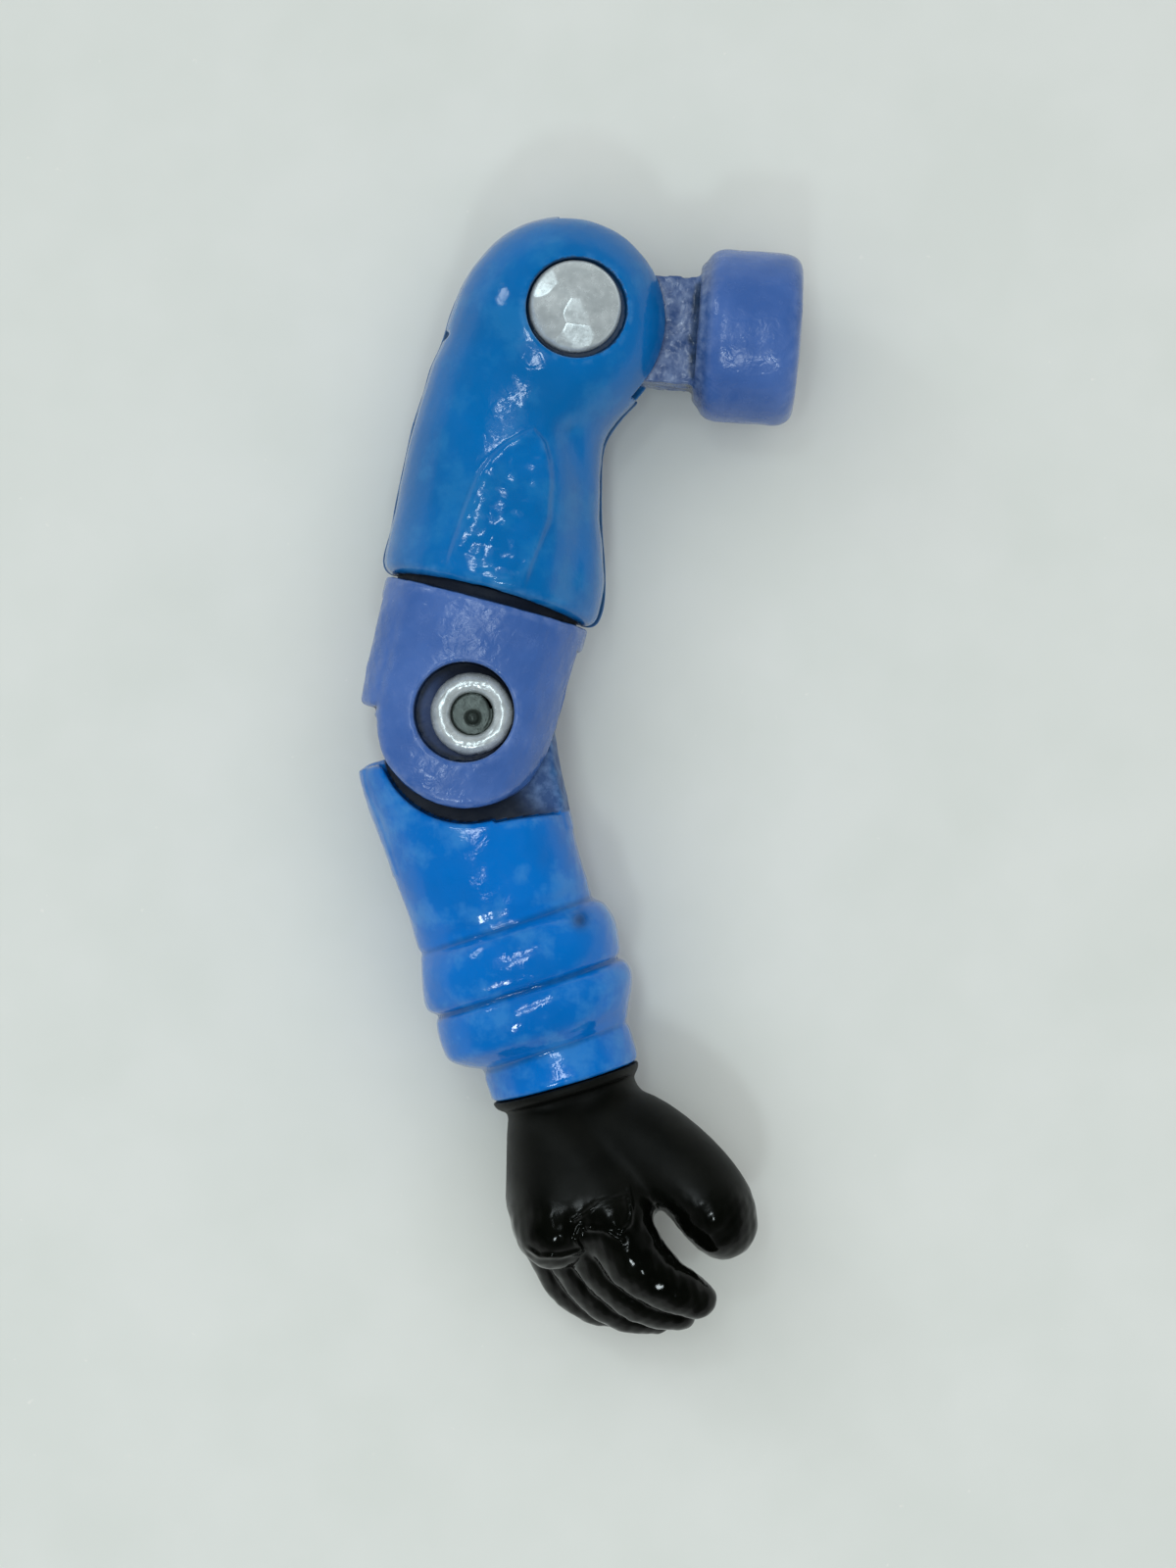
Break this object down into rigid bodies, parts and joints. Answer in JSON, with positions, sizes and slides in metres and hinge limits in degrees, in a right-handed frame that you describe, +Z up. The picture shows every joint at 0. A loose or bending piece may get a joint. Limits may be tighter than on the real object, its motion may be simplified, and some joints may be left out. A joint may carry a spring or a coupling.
{
  "type": "toy figure arm",
  "caption": "Jointed toy figure arm lying flat: shoulder peg with a retaining disc, riveted shoulder, swivelling elbow fork, riveted forearm and a gloved gripping hand.",
  "frame": {"origin": "middle of the underside, where the arm lies on its back half on a table", "axes": "+X out through the shoulder disc, +Y from the hand towards the shoulder, +Z up off the table, along both rivets"},
  "size_m": [0.016, 0.04, 0.0076],
  "materials": {
    "sleeve_plastic": "glossy bright blue, lightly rippled",
    "joint_plastic": "satin violet blue, scuffed and slightly grimy",
    "glove_plastic": "glossy black",
    "rivet_steel": "dull plated steel, slightly hammered"
  },
  "bodies": {
    "shoulder": {"shoulder_peg": "joint_plastic"},
    "upper_arm": {"upper_arm_front_shell": "sleeve_plastic", "upper_arm_back_shell": "sleeve_plastic", "shoulder_rivet": "rivet_steel"},
    "elbow": {"elbow_fork": "joint_plastic", "elbow_rivet": "rivet_steel"},
    "forearm": {"forearm": "sleeve_plastic", "hand": "glove_plastic"}
  },
  "joints": [
    {"name": "shoulder_hinge", "type": "hinge", "parent": "shoulder", "child": "upper_arm", "pos_m": [-0.00026, 0.01658, 0.00375], "axis": [0, 0, 1], "range_deg": [-75, 10.5]},
    {"name": "arm_swivel", "type": "hinge", "parent": "upper_arm", "child": "elbow", "pos_m": [-0.00447, 0.00239, 0.00375], "axis": [-0.2588, -0.9659, 0], "continuous": true},
    {"name": "elbow_hinge", "type": "hinge", "parent": "elbow", "child": "forearm", "pos_m": [-0.00409, 0.00228, 0.00375], "axis": [0, 0, 1], "range_deg": [-30, 65]}
  ]
}
